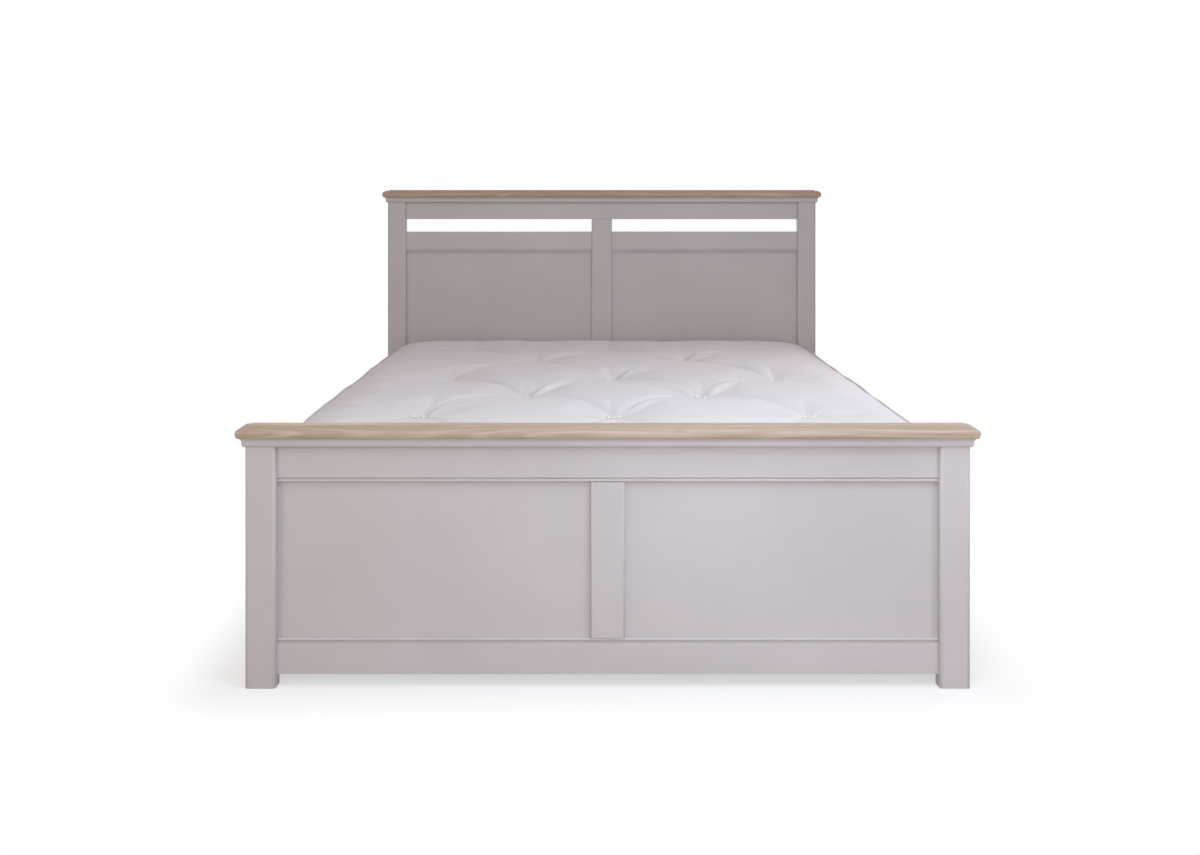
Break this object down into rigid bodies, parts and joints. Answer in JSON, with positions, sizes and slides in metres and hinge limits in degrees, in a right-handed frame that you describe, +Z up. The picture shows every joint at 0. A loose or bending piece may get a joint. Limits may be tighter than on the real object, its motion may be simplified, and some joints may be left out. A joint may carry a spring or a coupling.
{
  "type": "storage bed",
  "caption": "Painted king-size bed with oak-capped panelled head and foot boards, and a gas-strut slatted platform that lifts a tufted mattress off a storage well.",
  "frame": {"origin": "on the floor, in the middle of the bed's overall length and width", "axes": "+X to the right seen from the foot end, +Y from the footboard towards the headboard, +Z up"},
  "size_m": [1.636, 2.166, 1.112],
  "materials": {
    "painted_wood": "satin",
    "oak": "matte",
    "pine": "matte",
    "floor_board": "satin",
    "black_steel": "satin",
    "zinc": "satin",
    "black_plastic": "matte",
    "rubber": "matte",
    "ticking": "matte"
  },
  "bodies": {
    "root": {"head_post_left": "painted_wood", "head_post_right": "painted_wood", "head_cornice": "painted_wood", "head_top_rail": "painted_wood", "head_mid_rail_left": "painted_wood", "head_mid_rail_right": "painted_wood", "head_bottom_rail": "painted_wood", "head_stile": "painted_wood", "head_panel_left": "painted_wood", "head_panel_right": "painted_wood", "foot_leg_left": "painted_wood", "foot_leg_right": "painted_wood", "foot_cornice": "painted_wood", "foot_top_rail": "painted_wood", "foot_bottom_rail": "painted_wood", "foot_stile": "painted_wood", "foot_panel_left": "painted_wood", "foot_panel_right": "painted_wood", "side_rail_left": "painted_wood", "side_rail_right": "painted_wood", "head_cap": "oak", "foot_cap": "oak", "foot_bearer": "pine", "rest_blocks": "pine", "floor_ledgers": "pine", "floor_battens": "pine", "floor_board_foot": "floor_board", "floor_board_middle": "floor_board", "floor_board_head": "floor_board", "hinge_plate_left": "black_steel", "hinge_plate_right": "black_steel", "corner_brackets": "zinc", "corner_bolts": "zinc", "hinge_screws": "zinc", "fixed_pins": "zinc", "centre_feet": "black_plastic", "rest_pads": "rubber"},
    "main_links": {"main_link_left": "black_steel", "main_link_right": "black_steel"},
    "rear_links": {"rear_link_left": "black_steel", "rear_link_right": "black_steel"},
    "strut_cylinders": {"strut_cylinder_left": "black_steel", "strut_cylinder_right": "black_steel"},
    "strut_rods": {"strut_rod_left": "zinc", "strut_rod_right": "zinc"},
    "platform": {"side_tube_left": "black_steel", "side_tube_right": "black_steel", "foot_tube": "black_steel", "head_tube": "black_steel", "centre_tube": "black_steel", "slats_left": "pine", "slats_right": "pine", "slat_holders_left": "black_plastic", "slat_holders_right": "black_plastic", "slat_holders_centre": "black_plastic", "mattress_stops": "black_steel", "platform_bracket_left": "black_steel", "platform_bracket_right": "black_steel", "platform_pins": "zinc", "mattress": "ticking"}
  },
  "joints": [
    {"name": "platform_lift", "type": "hinge", "parent": "root", "child": "main_links", "pos_m": [0, 0.422, 0.102], "axis": [1, 0, 0], "range_deg": [0, 48]},
    {"name": "platform_tilt", "type": "hinge", "parent": "main_links", "child": "platform", "pos_m": [0, 0.826, 0.193], "axis": [1, 0, 0], "range_deg": [-82, 0]},
    {"name": "rear_link_swing", "type": "hinge", "parent": "root", "child": "rear_links", "pos_m": [0, 0.605, 0.231], "axis": [1, 0, 0], "range_deg": [0, 61.8]},
    {"name": "strut_swing", "type": "hinge", "parent": "root", "child": "strut_cylinders", "pos_m": [0, 0.743, 0.079], "axis": [1, 0, 0], "range_deg": [0, 56.7]},
    {"name": "strut_extend", "type": "slide", "parent": "strut_cylinders", "child": "strut_rods", "axis": [0, 0.8321, 0.5547], "range_m": [0, 0.085]}
  ],
  "couplings": [
    {"joint": "platform_tilt", "follows": "platform_lift", "ratio": -1.7083},
    {"joint": "rear_link_swing", "follows": "platform_lift", "ratio": 1.2875},
    {"joint": "strut_swing", "follows": "platform_lift", "ratio": 1.1812},
    {"joint": "strut_extend", "follows": "platform_lift", "m_per_rad": 0.10146}
  ]
}
